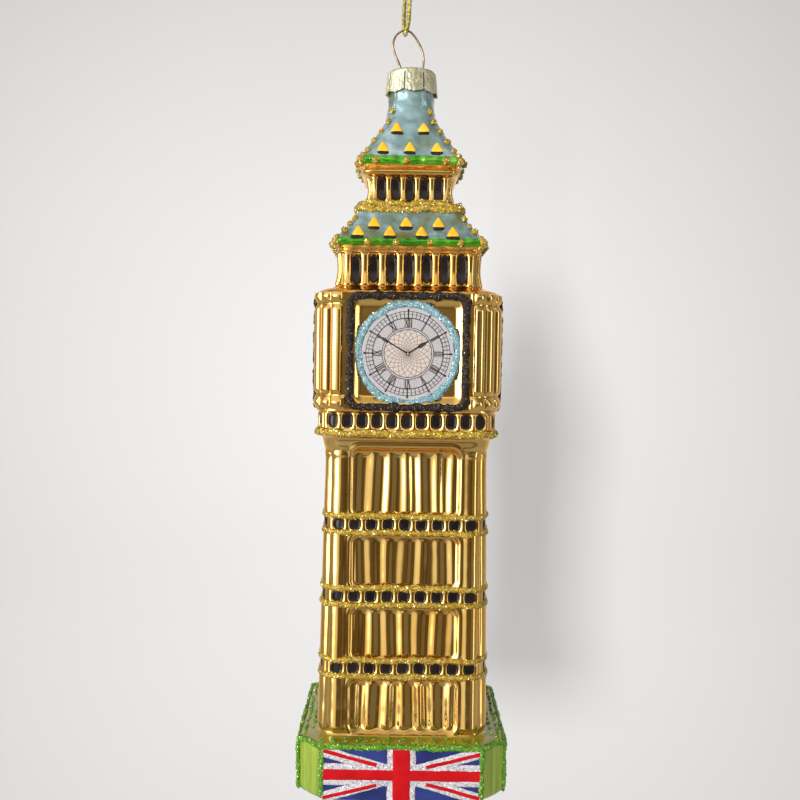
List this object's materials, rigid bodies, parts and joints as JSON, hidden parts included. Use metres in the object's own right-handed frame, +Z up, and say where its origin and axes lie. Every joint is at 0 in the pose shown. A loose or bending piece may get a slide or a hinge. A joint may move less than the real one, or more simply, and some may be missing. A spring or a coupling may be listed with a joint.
{
  "type": "glass christmas ornament",
  "caption": "Hollow glass clock-tower ornament with a crimped metal cap, a sprung wire bail and a metallic thread loop, trimmed with enamel and glitter.",
  "frame": {"origin": "inside top of the thread loop, where a hook or twig holds it", "axes": "+Z up along the hanging axis, first dial and flag face -Y, +X to the viewer's right"},
  "size_m": [0.0482, 0.0482, 0.2324],
  "materials": {
    "gold_thread": "metallic twisted thread",
    "bail_wire": "dull spring wire",
    "cap_metal": "embossed satin sheet",
    "lustred_glass": "silvered and gold-lacquered mirror gloss, with pearl blue and green lacquer on the roofs and base",
    "gold_glitter": "coarse gold glitter glue",
    "teal_glitter": "fine teal glitter glue",
    "black_glitter": "fine black glitter glue",
    "green_glitter": "coarse green glitter glue",
    "yellow_enamel": "gloss enamel",
    "black_enamel": "gloss enamel",
    "printed_dial": "printed film",
    "flag_enamel": "gloss enamel with white glitter lines"
  },
  "bodies": {
    "thread": {"hanging_cord": "gold_thread", "cord_knot": "gold_thread"},
    "bail": {"wire_bail": "bail_wire"},
    "cap": {"ornament_cap": "cap_metal"},
    "glass": {"glass_body": "lustred_glass", "upper_roof_beads": "gold_glitter", "lower_roof_beads": "gold_glitter", "roof_collar_glitter": "gold_glitter", "upper_dormer_gables": "yellow_enamel", "upper_dormer_openings": "black_enamel", "lower_dormer_gables": "yellow_enamel", "lower_dormer_openings": "black_enamel", "upper_belfry_windows": "black_enamel", "lower_belfry_windows": "black_enamel", "arcade_windows": "black_enamel", "shaft_windows": "black_enamel", "arcade_glitter_line": "gold_glitter", "base_glitter_edging": "green_glitter", "clock_dial_front": "printed_dial", "clock_dial_right": "printed_dial", "clock_dial_back": "printed_dial", "clock_dial_left": "printed_dial", "dial_rim_front": "teal_glitter", "dial_rim_right": "teal_glitter", "dial_rim_back": "teal_glitter", "dial_rim_left": "teal_glitter", "dial_frame_front": "black_glitter", "dial_frame_right": "black_glitter", "dial_frame_back": "black_glitter", "dial_frame_left": "black_glitter", "flag_panel_front": "flag_enamel", "flag_panel_right": "flag_enamel", "flag_panel_back": "flag_enamel", "flag_panel_left": "flag_enamel", "glitter_line_band_1_upper": "gold_glitter", "glitter_line_band_1_lower": "gold_glitter", "glitter_line_band_2_upper": "gold_glitter", "glitter_line_band_2_lower": "gold_glitter", "glitter_line_band_3_upper": "gold_glitter", "glitter_line_band_3_lower": "gold_glitter"}
  },
  "joints": [
    {"name": "bail_swing", "type": "hinge", "parent": "thread", "child": "bail", "pos_m": [0, 0, -0.045], "axis": [1, 0, 0], "range_deg": [-80, 80]},
    {"name": "bail_lift", "type": "slide", "parent": "bail", "child": "cap", "axis": [0, 0, -1], "range_m": [0, 0.003]},
    {"name": "cap_pull", "type": "slide", "parent": "cap", "child": "glass", "axis": [0, 0, -1], "range_m": [0, 0.024]}
  ]
}
